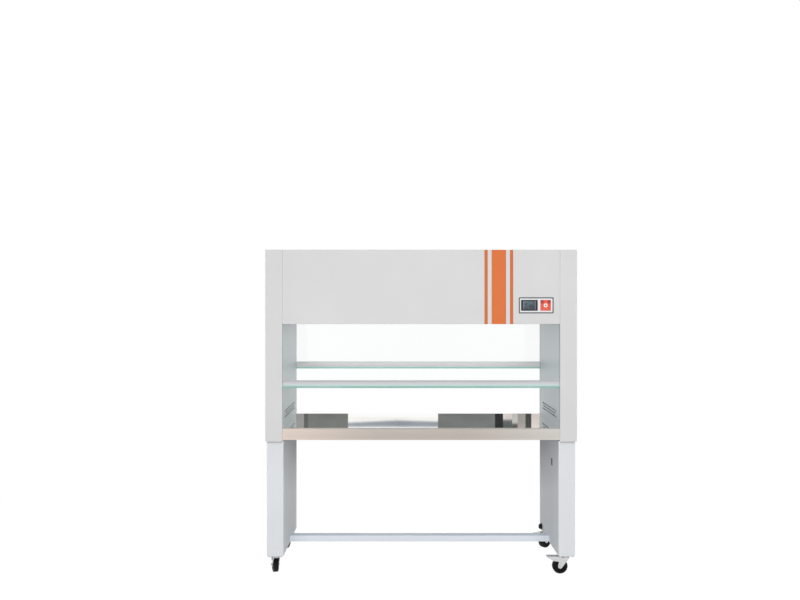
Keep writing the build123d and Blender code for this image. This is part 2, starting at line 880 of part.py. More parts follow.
def switch_rocker():
    """The rocker, tilted to its off position, on two short pins."""
    front_reach = rocker_pivot_depth - rocker_end_proud
    face_x = -(rocker_pivot_depth + rocker_end_proud)
    half_height = rocker_height / 2
    outline = Polyline(
        (face_x, half_height),
        (face_x + rocker_dish, 0),
        (face_x, -half_height),
        (face_x + front_reach, -half_height),
        (rocker_back_depth, -rocker_back_height / 2),
        (rocker_back_depth, rocker_back_height / 2),
        (face_x + front_reach, half_height),
        close=True,
    )
    section = make_face(outline.edges())
    body = extrude(Plane.XZ.offset(-rocker_width / 2) * section, rocker_width)
    pin_reach = rocker_clearance + rocker_pin_reach - rocker_pin_end_gap
    pin_length = rocker_width + 2 * pin_reach
    pin = Rot(90, 0, 0) * Cylinder(rocker_pin_radius, pin_length)
    tilted = Rot(0, -rocker_tilt, 0) * (body + pin)
    return Pos(rocker_pivot_x, switch_y, switch_z) * tilted


def cable_gland():
    """The gland that the mains lead would come through, on the right leg's inner face."""
    profile = Polyline(
        (gland_bore_radius, -gland_reach),
        (gland_bore_radius + gland_lip, -gland_reach),
        (gland_radius - gland_nut_step, -gland_flange - gland_nut_length),
        (gland_radius - gland_nut_step, -gland_flange),
        (gland_radius, -gland_flange),
        (gland_radius, 0),
        (gland_thread_radius, 0),
        (gland_thread_radius, gland_thread_length),
        (gland_bore_radius, gland_thread_length),
        close=True,
    )
    section = Plane.XZ * make_face(profile.edges())
    turned = Rot(0, 90, 0) * revolve(section, Axis.Z)
    return Pos(leg_inner, gland_from_middle, gland_z) * turned


def bolt_places():
    """The four bolt centres of a caster plate about its middle."""
    places = []
    for x in (-bolt_spacing_x / 2, bolt_spacing_x / 2):
        for y in (-bolt_spacing_y / 2, bolt_spacing_y / 2):
            places.append((x, y))
    return places


def caster_plate():
    """The mounting plate, the raised race under it and the riveted kingpin."""
    plate = extrude(RectangleRounded(plate_breadth, plate_length, plate_round), -plate_gauge)
    for x, y in bolt_places():
        plate -= Pos(x, y, 0) * Cylinder(bolt_radius + bolt_hole_clearance, 4 * plate_gauge)
    race = Cylinder(race_radius, race_height)
    race = chamfer(race.edges().filter_by(GeomType.CIRCLE).sort_by(Axis.Z)[0], race_chamfer)
    race = Pos(0, 0, -plate_gauge - race_height / 2) * race
    pin_length = fork_gauge + 2 * face_gap + kingpin_head
    pin_top = crown_top + face_gap - caster_height
    pin = Pos(0, 0, pin_top - pin_length / 2) * Cylinder(kingpin_radius, pin_length)
    head_z = pin_top - pin_length + kingpin_head / 2
    head = Pos(0, 0, head_z) * Cylinder(kingpin_head_radius, kingpin_head)
    return Pos(0, 0, caster_height) * (plate + [race, pin, head])


def caster_fork():
    """The swivel fork: a crown with two tapering legs, and a stub each side for the pedal."""
    outer = fork_half + fork_gauge
    crown = block(-fork_lead, fork_tail, -outer, outer, crown_top - fork_gauge, crown_top)
    crown = fillet(crown.edges().filter_by(Axis.X).group_by(Axis.Z)[-1], fork_edge_round)
    end_circle = Pos(caster_trail, wheel_radius) * Circle(fork_end_radius)
    shoulder = Line((-fork_lead, crown_top - fork_gauge), (fork_tail, crown_top - fork_gauge))
    side = make_hull([*end_circle.edges(), *shoulder.edges()])
    legs = extrude(Plane.XZ.offset(-outer) * side, 2 * outer)
    between = block(-clear_reach, clear_reach, -fork_half, fork_half, -clear_reach, clear_reach)
    legs -= between
    stub = Rot(90, 0, 0) * Cylinder(pedal_pivot_radius, 2 * (outer + pedal_inner_gap + pedal_gauge))
    stub -= between
    fork = crown + [legs, Pos(pedal_pivot_x, 0, pedal_pivot_z) * stub]
    fork -= Pos(0, 0, crown_top) * Cylinder(kingpin_radius + running_clearance, 6 * fork_gauge)
    axle_hole = Rot(90, 0, 0) * Cylinder(axle_radius + running_clearance, 4 * outer)
    return fork - Pos(caster_trail, 0, wheel_radius) * axle_hole


def caster_axle():
    """The axle bolt: a round shank with a head at one end and a nut at the other."""
    outer = fork_half + fork_gauge
    shank = Rot(90, 0, 0) * Cylinder(axle_radius, 2 * outer)
    cap = extrude(Plane.XZ.offset(outer) * RegularPolygon(axle_head_radius, 6), axle_head)
    return Pos(caster_trail, 0, wheel_radius) * (shank + [cap, to_back(cap)])


def caster_wheel():
    """A solid wheel with bevelled shoulders, dished sides and a hub, bored for the axle."""
    half = wheel_width / 2
    edge = wheel_radius - tread_chamfer
    rim = edge - tread_side_height
    hub_face = half + wheel_hub_proud
    web = half - web_recess
    bore = axle_radius + running_clearance
    one_side = [
        (bore, hub_face),
        (wheel_hub_radius, hub_face),
        (wheel_hub_radius + wheel_hub_slope, web),
        (rim - web_slope, web),
        (rim, half),
        (edge, half),
        (wheel_radius, half - tread_chamfer),
    ]
    other_side = [(radius, -along) for radius, along in one_side[::-1]]
    outline = Polyline(*one_side, *other_side, close=True)
    wheel = revolve(make_face(outline.edges()), Axis.Y)
    return Pos(caster_trail, 0, wheel_radius) * wheel


def brake_pedal():
    """The brake pedal: a stamped lever over the wheel with two side cheeks and a brake shoe."""
    inner = fork_half + fork_gauge + pedal_inner_gap
    outer = inner + pedal_gauge
    boss = Pos(pedal_pivot_x, pedal_pivot_z) * Circle(pedal_boss_radius)
    cheek_lines = Polyline(
        (pedal_start_x, pedal_top_z),
        (pedal_reach, pedal_top_z),
        (pedal_reach, pedal_top_z - pedal_tip_depth),
        (pedal_knee_x, pedal_knee_z),
        (pedal_pivot_x, pedal_pivot_z - pedal_boss_radius),
    )
    side = make_hull([*boss.edges(), *cheek_lines.edges()])
    lever = extrude(Plane.XZ.offset(-outer) * side, 2 * outer)
    top_edges = lever.edges().filter_by(Axis.X).group_by(Axis.Z)[-1]
    lever = fillet(top_edges, pedal_gauge)
    lever -= block(-clear_reach, clear_reach, -inner, inner, 0, pedal_top_z - pedal_gauge)
    lever -= block(-clear_reach, pedal_start_x, -inner, inner, 0, clear_reach)
    rise = math.sqrt(wheel_radius ** 2 - (brake_shoe_x - caster_trail) ** 2)
    shoe_foot = wheel_radius + rise + brake_shoe_gap
    half_shoe = wheel_width / 2 - brake_shoe_inset
    shoe = block(
        brake_shoe_x,
        brake_shoe_x + brake_shoe_gauge,
        -half_shoe,
        half_shoe,
        shoe_foot,
        pedal_top_z - pedal_gauge,
    )
    hole = Rot(90, 0, 0) * Cylinder(pedal_pivot_radius + running_clearance, 3 * outer)
    return lever + shoe - Pos(pedal_pivot_x, 0, pedal_pivot_z) * hole


def caster_bolt():
    """A hexagon bolt from below, through the plate into the leg."""
    head = extrude(RegularPolygon(bolt_head_radius, 6), -bolt_head)
    shank = Pos(0, 0, bolt_length / 2) * Cylinder(bolt_radius, bolt_length)
    return Pos(0, 0, caster_height - plate_gauge) * (head + shank)


def caster_places():
    """Each caster's name, where its swivel axis stands and the way its wheel trails."""
    places = {}
    for name, heading in caster_headings.items():
        x = leg_middle if name.endswith("right") else -leg_middle
        y = caster_y if name.startswith("rear") else -caster_y
        places[name] = (x, y, heading)
    return places


def caster_pieces():
    """All casters: shared nodes for the plates and bolts, and four nodes each for what swivels."""
    pieces = {}
    plates = []
    bolts = []
    moving = {
        "caster_fork": caster_fork(),
        "caster_axle": caster_axle(),
        "caster_wheel": caster_wheel(),
        "brake_pedal": brake_pedal(),
    }
    for name, (x, y, heading) in caster_places().items():
        plates.append(Pos(x, y, 0) * caster_plate())
        for bolt_x, bolt_y in bolt_places():
            bolts.append(Pos(x + bolt_x, y + bolt_y, 0) * caster_bolt())
        for piece, solid in moving.items():
            pieces[piece + "_" + name] = Pos(x, y, 0) * Rot(0, 0, heading) * solid
    pieces["caster_plates"] = Compound(plates)
    pieces["caster_bolts"] = Compound(bolts)
    return pieces


def all_pieces():
    """Every sub part of the bench, by the name of its node."""
    pieces = {
        "column_shell_left": column_shell(),
        "column_shell_right": to_right(column_shell()),
        "side_liner_left": side_liner(),
        "side_liner_right": to_right(side_liner()),
        "front_panel": front_panel(),
        "rear_panel": to_back(hood_panel()),
        "top_cover": top_cover(),
        "prefilter_pad": prefilter_pad(),
        "fan_deck": fan_deck(),
        "filter_cartridge": filter_cartridge(),
        "diffuser_tray": diffuser_tray(),
        "lamp_tube": lamp_tube(-tube_y),
        "germicidal_tube": lamp_tube(tube_y),
        "lamp_holders": lamp_holders(),
        "worktop": worktop(),
        "worktop_bearer_front": worktop_bearer(-bearer_spacing / 2),
        "worktop_bearer_rear": worktop_bearer(bearer_spacing / 2),
        "sash_channels": sash_channels(),
        "front_sash_glass": sash_glass(front_sash_open),
        "front_sash_strip": sash_strip(front_sash_open),
        "rear_sash_glass": to_back(sash_glass(rear_sash_open)),
        "rear_sash_strip": to_back(sash_strip(rear_sash_open)),
        "control_plate": control_plate(),
        "display_window": display_window(),
        "keypad": keypad(),
        "leg_left": leg(),
        "leg_right": right_leg(),
        "foot_rail": foot_rail(),
        "switch_bezel": switch_bezel(),
        "switch_rocker": switch_rocker(),
        "cable_gland": cable_gland(),
    }
    for side, name in ((-1, "left"), (1, "right")):
        middle = side * blower_spacing / 2
        pieces["blower_housing_" + name] = blower_housing(middle)
        pieces["impeller_" + name] = impeller(middle, -side)
        pieces["fan_motor_" + name] = fan_motor(middle, -side)
    for name, (x, z) in all_keys().items():
        pieces[name] = key(name, x, z)
    pieces.update(caster_pieces())
    return pieces


os.makedirs("parts", exist_ok=True)
for node, piece in all_pieces().items():
    export_step(piece, "parts/" + node + ".step")
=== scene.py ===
import bmesh
import bpy
import json
import math
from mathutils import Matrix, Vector


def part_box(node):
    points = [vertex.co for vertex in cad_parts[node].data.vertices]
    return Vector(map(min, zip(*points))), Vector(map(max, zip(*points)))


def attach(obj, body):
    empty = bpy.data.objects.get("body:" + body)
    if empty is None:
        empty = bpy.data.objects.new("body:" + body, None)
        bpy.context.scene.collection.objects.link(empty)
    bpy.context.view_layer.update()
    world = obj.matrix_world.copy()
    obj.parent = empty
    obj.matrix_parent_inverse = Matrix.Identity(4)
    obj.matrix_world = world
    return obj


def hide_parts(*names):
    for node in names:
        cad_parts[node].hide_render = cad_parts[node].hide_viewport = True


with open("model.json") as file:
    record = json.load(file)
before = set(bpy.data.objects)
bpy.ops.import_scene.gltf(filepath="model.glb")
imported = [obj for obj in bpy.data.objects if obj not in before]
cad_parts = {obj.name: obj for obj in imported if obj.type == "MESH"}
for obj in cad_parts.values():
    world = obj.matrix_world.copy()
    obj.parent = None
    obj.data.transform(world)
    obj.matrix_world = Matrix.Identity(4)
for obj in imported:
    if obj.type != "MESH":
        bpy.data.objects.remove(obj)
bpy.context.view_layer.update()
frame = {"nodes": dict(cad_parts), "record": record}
nodes = frame["nodes"]

# Camera, read from the photograph's perspective: level, a little left of the middle
CAMERA_PLACE = (-0.1196, -5.170, 1.319)
FOCAL_PIXELS = 984.0
PRINCIPAL_POINT = (396.75, 308.0)
PICTURE = (800.0, 600.0)
SENSOR = 36.0


# Colours

def srgb(red, green, blue):
    """A colour read in 0 to 255 display values, as linear values."""
    values = []
    for part in (red, green, blue):
        share = part / 255.0
        values.append(share / 12.92 if share <= 0.04045 else ((share + 0.055) / 1.055) ** 2.4)
    return (values[0], values[1], values[2], 1.0)


def tone(color, factor):
    """A colour made darker or lighter by a factor."""
    return tuple(min(1.0, part * factor) for part in color[:3]) + (1.0,)


def grey(share):
    """A neutral linear colour."""
    return (share, share, share, 1.0)


WHITE = grey(1.0)
BLACK = grey(0.0)
HOOD = srgb(217, 217, 217)
STAND = srgb(226, 229, 233)


# Shader nodes

# The mix node's colour sockets, which share their names with its other sockets
MIX_FIRST = 6
MIX_SECOND = 7
MIX_COLOR = 2


class Graph:
    """The shader nodes of a material or world. What a helper adds, it hands back as the output to use."""

    def __init__(self, owner):
        owner.use_nodes = True
        self.tree = owner.node_tree
        self.tree.nodes.clear()
        self.coords = None

    def add(self, kind, inputs=None, **settings):
        """A node with its settings, and its inputs fed by name or number."""
        node = self.tree.nodes.new(kind)
        for key, value in settings.items():
            setattr(node, key, value)
        for key, value in (inputs or {}).items():
            self.feed(node.inputs[key], value)
        return node

    def feed(self, target, value):
        """Join another node's output to an input, or set the input to a plain value."""
        if isinstance(value, bpy.types.NodeSocket):
            self.tree.links.new(value, target)
        else:
            target.default_value = value

    def math(self, operation, *values):
        return self.add("ShaderNodeMath", dict(enumerate(values)), operation=operation).outputs[0]

    def vector(self, operation, *values):
        return self.add("ShaderNodeVectorMath", dict(enumerate(values)), operation=operation).outputs

    def mix(self, share, first, second, blend="MIX"):
        """The first colour where the share is 0 and the second where it is 1."""
        node = self.add("ShaderNodeMix", data_type="RGBA", blend_type=blend)
        for socket, value in (("Factor", share), (MIX_FIRST, first), (MIX_SECOND, second)):
            self.feed(node.inputs[socket], value)
        return node.outputs[MIX_COLOR]

    def mix_shaders(self, share, first, second):
        return self.add("ShaderNodeMixShader", {"Fac": share, 1: first, 2: second}).outputs[0]

    def place(self, stretch=(1.0, 1.0, 1.0)):
        """Object coordinates, stretched along each axis."""
        if self.coords is None:
            self.coords = self.add("ShaderNodeTexCoord").outputs["Object"]
        return self.add("ShaderNodeMapping", {"Vector": self.coords, "Scale": stretch}).outputs["Vector"]

    def axes(self):
        """The object coordinates X, Y and Z, each by its name."""
        return self.add("ShaderNodeSeparateXYZ", {"Vector": self.place()}).outputs

    def noise(self, scale, detail, stretch=(1.0, 1.0, 1.0)):
        inputs = {"Vector": self.place(stretch), "Scale": scale, "Detail": detail}
        return self.add("ShaderNodeTexNoise", inputs).outputs["Fac"]

    def ramp(self, value, stops):
        """A colour read from stops along a value."""
        node = self.add("ShaderNodeValToRGB", {"Fac": value})
        elements = node.color_ramp.elements
        while len(elements) < len(stops):
            elements.new(0.5)
        for element, (position, color) in zip(elements, stops):
            element.position = position
            element.color = color
        return node.outputs["Color"]

    def drift(self, value, color, dark, light, start=0.3, end=0.7):
        """A colour that drifts between a darker and a lighter tone of itself."""
        return self.ramp(value, [(start, tone(color, dark)), (end, tone(color, light))])

    def span(self, value, low, high, start=0.0, end=1.0):
        """A value carried from the range start to end into the range low to high."""
        inputs = {"Value": value, "From Min": start, "From Max": end, "To Min": low, "To Max": high}
        return self.add("ShaderNodeMapRange", inputs).outputs["Result"]

    def ray_share(self):
        """One for rays from the camera, from gloss and through glass, else zero."""
        path = self.add("ShaderNodeLightPath").outputs
        seen = self.math("MAXIMUM", path["Is Camera Ray"], path["Is Glossy Ray"])
        return self.math("MAXIMUM", seen, path["Is Transmission Ray"])


class Finish(Graph):
    """A material with one principled shader."""

    def __init__(self, name):
        self.name = name
        self.material = bpy.data.materials.new(name)
        super().__init__(self.material)
        self.shader = self.add("ShaderNodeBsdfPrincipled")
        self.out = self.add("ShaderNodeOutputMaterial", {"Surface": self.shader.outputs["BSDF"]})

    def set(self, **inputs):
        """Feed the shader's inputs. An underscore stands for the space in an input's name."""
        for key, value in inputs.items():
            self.feed(self.shader.inputs[key.replace("_", " ")], value)

    def fed(self, name):
        """The output that feeds one of the shader's inputs."""
        return self.shader.inputs[name].links[0].from_socket

    def bump(self, height, strength, depth):
        """Fine relief, with its depth in metres."""
        inputs = {"Height": height, "Strength": strength, "Distance": depth}
        self.set(Normal=self.add("ShaderNodeBump", inputs).outputs["Normal"])

    def by_height(self, low, high, grain, ragged, stops):
        """A colour read from stops between two heights, with the grain making the lines between them ragged."""
        rise = self.span(self.axes()["Z"], -ragged / 2, 1 - ragged / 2, low, high)
        return self.ramp(self.math("MULTIPLY_ADD", grain, ragged, rise), stops)


# Finishes that any piece can have

MOULD_GRAIN = 500.0
MOULD_DEPTH = 0.00006
BRUSH_ACROSS = 260.0
BRUSH_ALONG = 3.0
BRUSH_SHARE = 0.65
MOTTLE_STOPS = (0.36, 0.5, 0.64)
GLASS_INDEX = 1.45


def paint(name, color, rough=0.5, vary=0.02, shine=0.14):
    """Powder coat: a near even colour, a fine orange peel and slight changes of gloss."""
    n = Finish(name)
    n.set(
        Base_Color=n.drift(n.noise(3.0, detail=2.0), color, 1 - vary, 1 + vary),
        Roughness=n.span(n.noise(40.0, detail=2.0), rough - 0.05, rough + 0.05),
        Specular_IOR_Level=shine,
    )
    n.bump(n.noise(900.0, detail=1.0), strength=0.25, depth=0.00012)
    return n


def steel(name, color, rough, along, vary=0.06, metallic=0.9):
    """Sheet steel with a fine grain along one axis."""
    n = Finish(name)
    stretch = [BRUSH_ALONG if axis == along else BRUSH_ACROSS for axis in "XYZ"]
    grain = n.noise(1.0, detail=4.0, stretch=stretch)
    cloud = n.span(n.noise(2.5, detail=2.0), 0.0, 1 - BRUSH_SHARE)
    worn = n.math("MULTIPLY_ADD", grain, BRUSH_SHARE, cloud)
    n.set(
        Base_Color=n.drift(worn, color, 1 - vary, 1 + vary, start=0.25, end=0.75),
        Roughness=n.span(worn, rough - 0.06, rough + 0.06, start=0.2, end=0.8),
        Metallic=metallic,
    )
    n.bump(grain, strength=0.2, depth=0.00004)
    return n


def plastic(name, color, rough=0.35, vary=0.04, grain=MOULD_GRAIN, depth=MOULD_DEPTH):
    """Moulded plastic or enamel with a fine surface grain."""
    n = Finish(name)
    cloud = n.noise(30.0, detail=3.0)
    n.set(
        Base_Color=n.drift(cloud, color, 1 - vary, 1 + vary),
        Roughness=n.span(cloud, rough - 0.05, rough + 0.07),
    )
    n.bump(n.noise(grain, detail=2.0), strength=0.25, depth=depth)
    return n


def mottled(name, tones, scale):
    """Printed plastic whose colour drifts between three tones."""
    n = Finish(name)
    grain = n.noise(MOULD_GRAIN, detail=2.0)
    n.set(
        Base_Color=n.ramp(n.noise(scale, detail=1.0), list(zip(MOTTLE_STOPS, tones))),
        Roughness=n.span(grain, 0.37, 0.49),
    )
    n.bump(grain, strength=0.25, depth=MOULD_DEPTH)
    return n


def rubber(name, color):
    """Black rubber, dusty in the low spots."""
    n = Finish(name)
    dust = n.noise(90.0, detail=6.0)
    n.set(
        Base_Color=n.drift(dust, color, 0.8, 1.7, start=0.35, end=0.75),
        Roughness=n.span(dust, 0.38, 0.62),
        Specular_IOR_Level=0.15,
    )
    n.bump(dust, strength=0.3, depth=0.0002)
    return n


def zinc(name, color, rough=0.24):
    """Bright zinc plating with a faint crystalline cloud."""
    n = Finish(name)
    cloud = n.noise(160.0, detail=5.0)
    n.set(
        Base_Color=n.drift(cloud, color, 0.86, 1.1),
        Roughness=n.span(cloud, rough - 0.06, rough + 0.1),
        Metallic=0.85,
    )
    n.bump(cloud, strength=0.12, depth=0.0001)
    return n


def clear_glass(name, color):
    """Clear float glass with a faint change of tint. It lets the lamps' light through."""
    n = Finish(name)
    n.set(
        Base_Color=n.drift(n.noise(1.5, detail=1.0), color, 0.99, 1.0),
        Transmission_Weight=1.0,
        IOR=GLASS_INDEX,
        Roughness=0.0,
    )
    shadow = n.add("ShaderNodeLightPath").outputs["Is Shadow Ray"]
    pass_on = n.add("ShaderNodeBsdfTransparent").outputs[0]
    n.feed(n.out.inputs["Surface"], n.mix_shaders(shadow, n.shader.outputs[0], pass_on))
    return n


# Finishes of single pieces

# The shade on a leg's inner face, as shares of the paint's own brightness
SHADE_AT_TOP = 0.34
SHADE_GAIN_DOWNWARD = 1.1
SHADE_GAIN_AHEAD = 0.45
SHADE_LIMIT = 1.04

# The rows of slots in the chamber's side walls: rise above the worktop, shift in pitches, and half the row's length
SLOT_ROWS = ((0.043, 0.5, 0.236), (0.058, 0.0, 0.202), (0.073, 0.5, 0.236))
SLOT_PITCH = 0.068
FIRST_SLOT = 20.0
# The painted shadow round each slot: half its length, half its height, and its colour
SLOT_SHADOW_HALF_LENGTH = 0.0265
SLOT_SHADOW_HALF_HEIGHT = 0.0032
SLOT_SHADOW_COLOR = srgb(64, 68, 88)
# Painted shade on the walls inside the slots and on the sheet's back
SLOT_WALL_SHADE = srgb(16, 18, 30)
LINER_FLANGE = 0.014
LINER_SKIN = 0.00015
LINER_METALLIC = 0.2

# Painted shade, near black, on the inner faces of the column shells behind the wall slots
COLUMN_INSIDE_SHADE = srgb(18, 19, 22)
COLUMN_TOP_SKIN = 0.0006
LEG_SKIN = 0.0004
KEY_RADIUS = 0.011
APRON_REACH = 0.68
APRON_GRAIN = 0.12
STRIP_GRAIN = 0.06
RAIL_GRAIN = 0.02

# The display's face: how far its tones drift, the range of its slope from corner to corner, and its two lines
SCREEN_DRIFT = 1.1
SCREEN_SLOPE = (-0.52, 0.42)
SCREEN_LINE = srgb(166, 150, 160)
SCREEN_LINE_STRENGTH = 0.55

# The rail's paint by height. The darker top stop is painted shade on its upper face, under the worktop.
RAIL_TONES_TOP_SHADED = [(0.0, srgb(231, 237, 244)), (0.95, srgb(233, 239, 246)), (0.975, srgb(206, 215, 225))]
KEY_TONES = [(0.60, srgb(242, 241, 234)), (0.78, srgb(246, 232, 214)), (0.92, srgb(238, 150, 132))]
# Painted warm reflection on the worktop's folded edges, from the left end of the bench to the right
APRON_REFLECTION_TONES = [
    (0.05, srgb(231, 214, 203)), (0.35, srgb(196, 187, 179)),
    (0.65, srgb(193, 184, 176)), (0.95, srgb(214, 210, 204)),
]
STRIP_TONES = {
    "front": [
        (0.0, srgb(199, 222, 220)), (0.30, srgb(202, 220, 218)),
        (0.42, srgb(206, 206, 210)), (1.0, srgb(197, 198, 201)),
    ],
    "rear": [
        (0.0, srgb(236, 233, 235)), (0.62, srgb(242, 239, 241)),
        (0.80, srgb(232, 238, 236)), (1.0, srgb(224, 234, 231)),
    ],
}
SCREEN_TONES = [
    (0.0, srgb(40, 42, 54)), (0.3, srgb(52, 62, 74)),
    (0.55, srgb(70, 82, 90)), (0.95, srgb(104, 130, 134)),
]

worktop_low, worktop_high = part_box("worktop")
key_low, key_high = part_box("centre_key")


def worktop_metal(name):
    """Polished worktop: mirror bright on top. Its folded edges have a softer grain, a painted warm reflection that
    changes along the bench, and a painted band of shade by height.
    """
    n = Finish(name)
    grain = n.noise(1.0, detail=4.0, stretch=(2.0, 300.0, 300.0))
    axes = n.axes()
    top = n.ramp(grain, [(0.3, srgb(246, 247, 245)), (0.7, srgb(252, 252, 250))])
    across = n.span(axes["X"], 0.0, 1 - APRON_GRAIN, start=-APRON_REACH, end=APRON_REACH)
    apron_reflection = n.ramp(n.math("MULTIPLY_ADD", grain, APRON_GRAIN, across), APRON_REFLECTION_TONES)
    upward = n.span(axes["Z"], 0.0, 1.0, start=worktop_low.z, end=worktop_high.z)
    # Painted shade: the folded edges are darker in a band part way up
    shade = n.ramp(upward, [(0.0, WHITE), (0.25, grey(0.92)), (0.62, grey(0.96)), (1.0, WHITE)])
    normal = n.add("ShaderNodeNewGeometry").outputs["Normal"]
    facing = n.add("ShaderNodeSeparateXYZ", {"Vector": normal}).outputs
    folded = n.span(n.math("ABSOLUTE", facing["Y"]), 0.0, 1.0, start=0.1, end=0.5)
    n.set(
        Base_Color=n.mix(folded, top, n.mix(1.0, apron_reflection, shade, "MULTIPLY")),
        Roughness=n.span(folded, 0.04, 0.42),
        Metallic=n.span(folded, 1.0, 0.35),
    )
    n.bump(grain, strength=0.05, depth=0.00002)
    return n


def shaded_inside_paint(name, color, inside_shade_color, limits):
    """Powder coat, with painted shade, near black, where the distances from the middle pass every limit."""
    n = paint(name, color)
    axes = n.axes()
    inside = 1.0
    for axis, test, limit in limits:
        inside = n.math("MULTIPLY", inside, n.math(test, n.math("ABSOLUTE", axes[axis]), limit))
    n.set(
        Base_Color=n.mix(inside, n.fed("Base Color"), inside_shade_color),
        Roughness=n.math("MAXIMUM", n.fed("Roughness"), inside),
    )
    return n


def strip_finish(name, low, high, stops):
    """The pull strip: satin aluminium whose tone changes from its lower lip to its crown."""
    n = Finish(name)
    grain = n.noise(1.0, detail=3.0, stretch=(4.0, 500.0, 500.0))
    n.set(
        Base_Color=n.by_height(low, high, grain, STRIP_GRAIN, stops),
        Roughness=n.span(grain, 0.3, 0.45),
        Metallic=0.1,
    )
    n.bump(grain, strength=0.15, depth=0.00003)
    return n


def rail_finish(name, low, high):
    """The foot rail's paint, with painted shade on its upper face, which lies under the worktop."""
    n = Finish(name)
    grain = n.noise(900.0, detail=3.0)
    n.set(
        Base_Color=n.by_height(low, high, grain, RAIL_GRAIN, RAIL_TONES_TOP_SHADED),
        Roughness=n.span(grain, 0.32, 0.38),
        Specular_IOR_Level=0.14,
    )
    n.bump(grain, strength=0.2, depth=0.0001)
    return n


def leg_finish(name, inner):
    """The stand's paint. The faces that look into the stand fall into shade to the rear and under the worktop."""
    n = paint(name, STAND, rough=0.6, shine=0.08)
    axes = n.axes()
    low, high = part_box("leg_left")
    drop = n.span(axes["Z"], 1.0, 0.0, start=low.z, end=high.z)
    ahead = n.span(axes["Y"], SHADE_GAIN_AHEAD, 0.0, start=low.y, end=high.y)
    from_front = n.math("MULTIPLY", ahead, n.math("SUBTRACT", 1.0, drop))
    from_below = n.math("MULTIPLY_ADD", drop, SHADE_GAIN_DOWNWARD, SHADE_AT_TOP)
    shade = n.math("MINIMUM", n.math("ADD", from_below, from_front), SHADE_LIMIT)
    inside = n.math("LESS_THAN", n.math("ABSOLUTE", axes["X"]), inner)
    share = n.math("MULTIPLY_ADD", inside, n.math("SUBTRACT", shade, 1.0), 1.0)
    shaded = n.add("ShaderNodeVectorMath", {0: n.fed("Base Color"), "Scale": share}, operation="SCALE")
    n.set(Base_Color=shaded.outputs[0])
    return n


def ringed_key(name, low, high):
    """A round key with a pale face and a warm printed rim."""
    n = Finish(name)
    middle = [(a + b) / 2 for a, b in zip(low, high)]
    away = n.vector("SUBTRACT", n.place(), middle)["Vector"]
    in_face = n.vector("MULTIPLY", away, (1.0, 0.0, 1.0))["Vector"]
    reach = n.span(n.vector("LENGTH", in_face)["Value"], 0.0, 1.0, start=0.0, end=KEY_RADIUS)
    grain = n.noise(500.0, detail=2.0)
    n.set(Base_Color=n.ramp(reach, KEY_TONES), Roughness=n.span(grain, 0.33, 0.45))
    n.bump(grain, strength=0.2, depth=0.00005)
    return n


def liner_steel(name, face):
    """The chamber's side walls: brushed sheet, with painted shade on the walls of its slots and a painted shadow round
    each slot.
    """
    n = steel(name, srgb(214, 222, 225), 0.42, "Z", vary=0.05, metallic=LINER_METALLIC)
    axes = n.axes()
    # Painted shade on the faces behind the wall's front: the slots' walls and the back
    behind = n.math("GREATER_THAN", n.math("ABSOLUTE", axes["X"]), face + LINER_SKIN)
    aside = n.math("ABSOLUTE", axes["Y"])
    slot_shadow = 0.0
    # A painted shadow round each slot, row by row
    for rise, shift, half_row in SLOT_ROWS:
        count = n.math("MULTIPLY_ADD", axes["Y"], 1.0 / SLOT_PITCH, FIRST_SLOT + shift)
        from_centre = n.math("ABSOLUTE", n.math("SUBTRACT", n.math("FRACT", count), 0.5))
        along = n.math("LESS_THAN", from_centre, SLOT_SHADOW_HALF_LENGTH / SLOT_PITCH)
        beside = n.math("COMPARE", axes["Z"], worktop_high.z + rise, SLOT_SHADOW_HALF_HEIGHT)
        in_row = n.math("LESS_THAN", aside, half_row)
        slot_shadow = n.math("MAXIMUM", n.math("MULTIPLY", n.math("MULTIPLY", along, beside), in_row), slot_shadow)
    n.set(
        Base_Color=n.mix(behind, n.mix(slot_shadow, n.fed("Base Color"), SLOT_SHADOW_COLOR), SLOT_WALL_SHADE),
        Roughness=n.math("MAXIMUM", n.fed("Roughness"), behind),
        Metallic=n.span(behind, LINER_METALLIC, 0.0),
    )
    return n


def edge_glass(name, body, rim):
    """The ground lower edge of the pane, where the glass shows its own green."""
    n = Finish(name)
    cloud = n.noise(60.0, detail=3.0, stretch=(0.05, 1.0, 1.0))
    n.set(
        Base_Color=n.ramp(cloud, [(0.35, body), (0.65, rim)]),
        Roughness=n.span(cloud, 0.12, 0.3),
        Transmission_Weight=0.25,
        IOR=GLASS_INDEX,
    )
    return n


def screen_finish(name, low, high):
    """An unlit display: grey blue, lighter towards its upper left, with a faint line near either side."""
    n = Finish(name)
    axes = n.axes()
    upward = n.span(axes["Z"], 0.0, 0.6, start=low.z, end=high.z)
    leftward = n.span(axes["X"], 0.4, 0.0, start=low.x, end=high.x)
    slope = n.span(n.math("ADD", upward, leftward), *SCREEN_SLOPE)
    tones = n.ramp(n.math("MULTIPLY_ADD", n.noise(75.0, detail=2.0), SCREEN_DRIFT, slope), SCREEN_TONES)
    across = n.span(axes["X"], 0.0, 1.0, start=low.x, end=high.x)
    lines = n.ramp(across, [
        (0.10, BLACK), (0.145, WHITE), (0.19, BLACK),
        (0.81, BLACK), (0.855, WHITE), (0.90, BLACK),
    ])
    cells = n.noise(900.0, detail=1.0)
    n.set(
        Base_Color=n.mix(n.math("MULTIPLY", lines, SCREEN_LINE_STRENGTH), tones, SCREEN_LINE),
        Roughness=n.span(cells, 0.1, 0.2),
    )
    n.bump(cells, strength=0.1, depth=0.00003)
    return n


